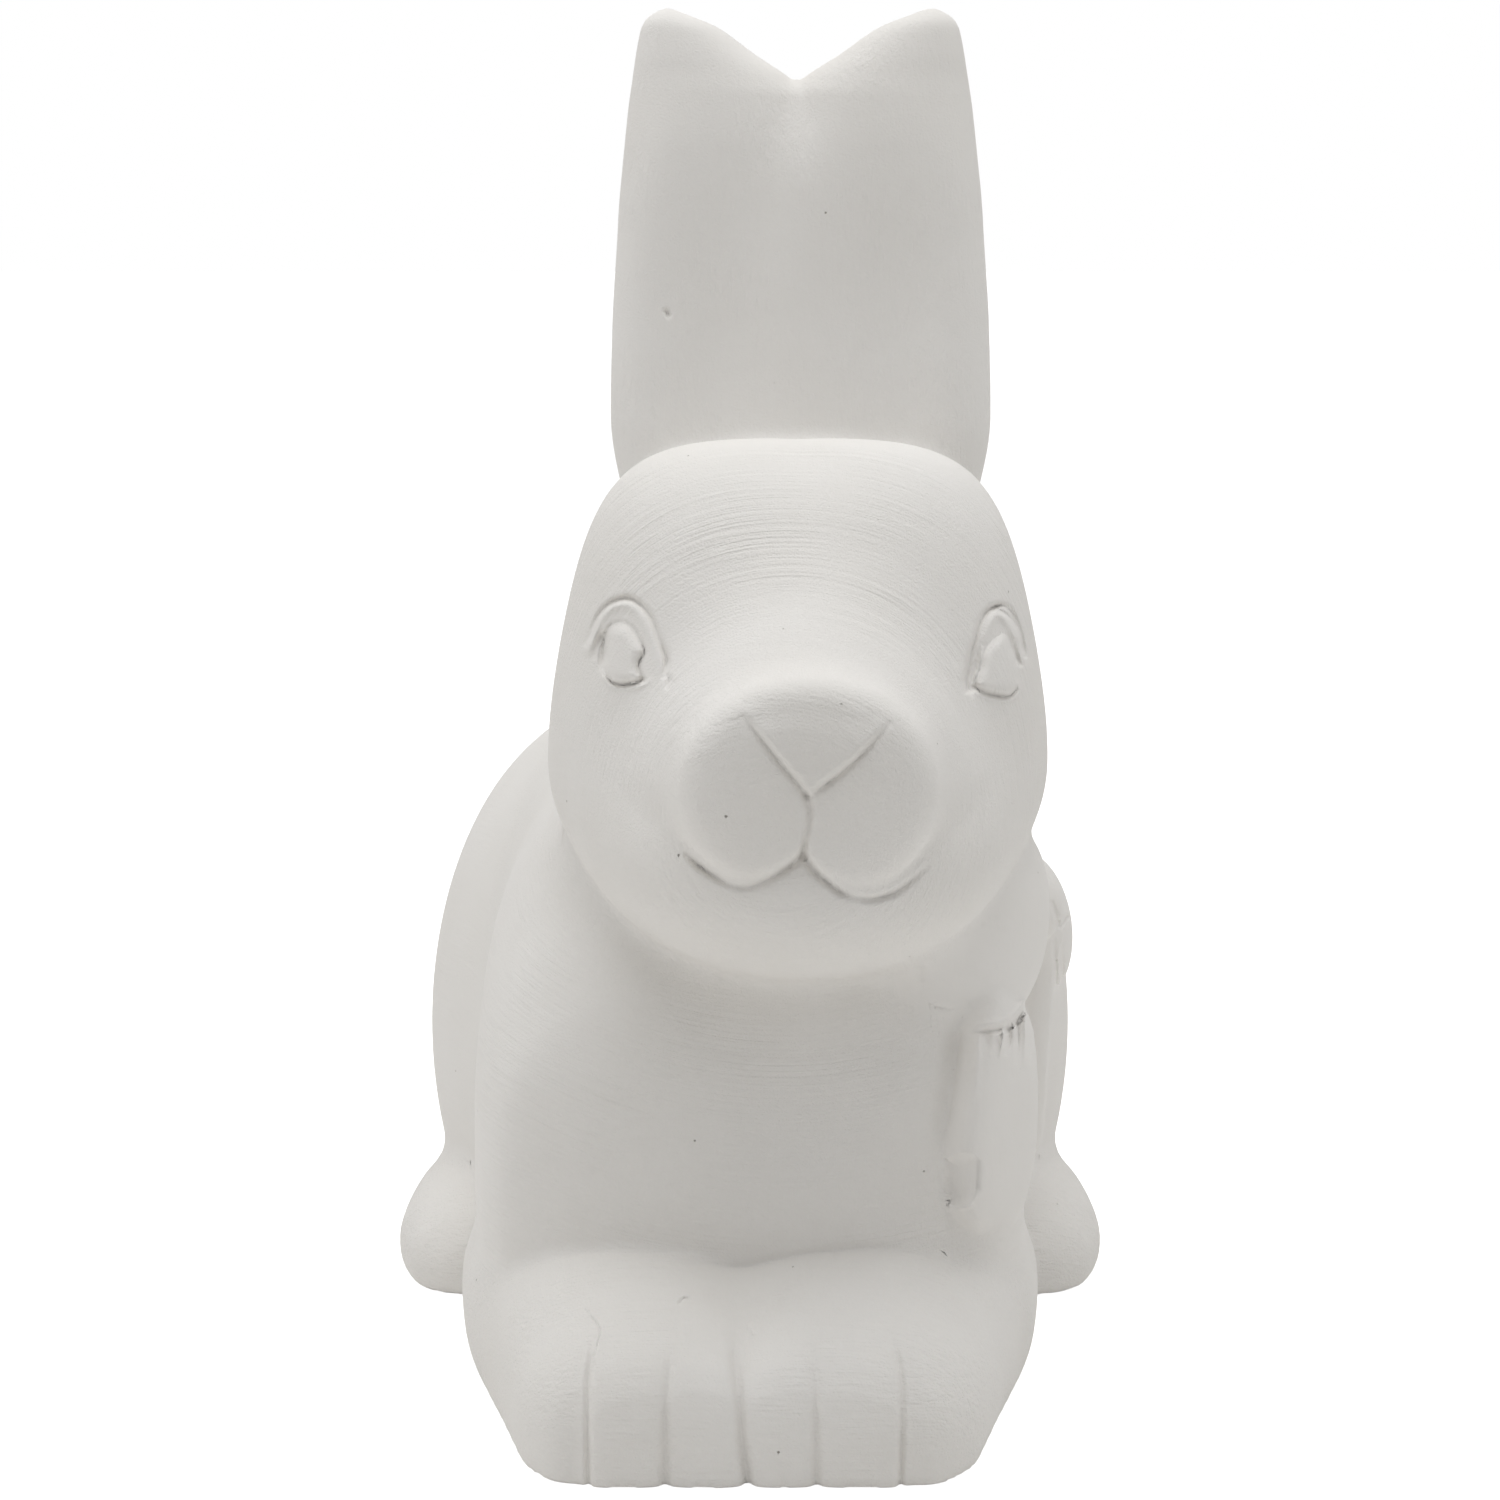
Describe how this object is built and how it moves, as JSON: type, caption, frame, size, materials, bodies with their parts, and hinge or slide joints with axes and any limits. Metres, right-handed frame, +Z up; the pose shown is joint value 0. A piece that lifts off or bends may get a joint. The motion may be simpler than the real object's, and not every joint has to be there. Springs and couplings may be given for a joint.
{
  "type": "rabbit figurine",
  "caption": "Unglazed ceramic rabbit lying with its forepaws out, joined upright ears and a ribbon bow on one shoulder; a free-standing ornament to display or paint.",
  "frame": {"origin": "middle of the footprint, on the surface that the rabbit lies on", "axes": "+Z up; the face looks along -Y; +X is the rabbit's left, the side of the bow"},
  "size_m": [0.1217, 0.19, 0.2155],
  "materials": {
    "bisque": "matte unglazed white bisque, sponged smooth"
  },
  "bodies": {
    "root": {"body_shell": "bisque", "head_shell": "bisque", "right_ear": "bisque", "left_ear": "bisque", "right_foreleg": "bisque", "left_foreleg": "bisque", "right_haunch": "bisque", "left_haunch": "bisque", "right_hind_foot": "bisque", "left_hind_foot": "bisque", "tail": "bisque", "neck_ribbon": "bisque", "bow_knot": "bisque", "bow_front_loop": "bisque", "bow_rear_loop": "bisque", "bow_front_tail": "bisque", "bow_rear_tail": "bisque"}
  },
  "joints": []
}
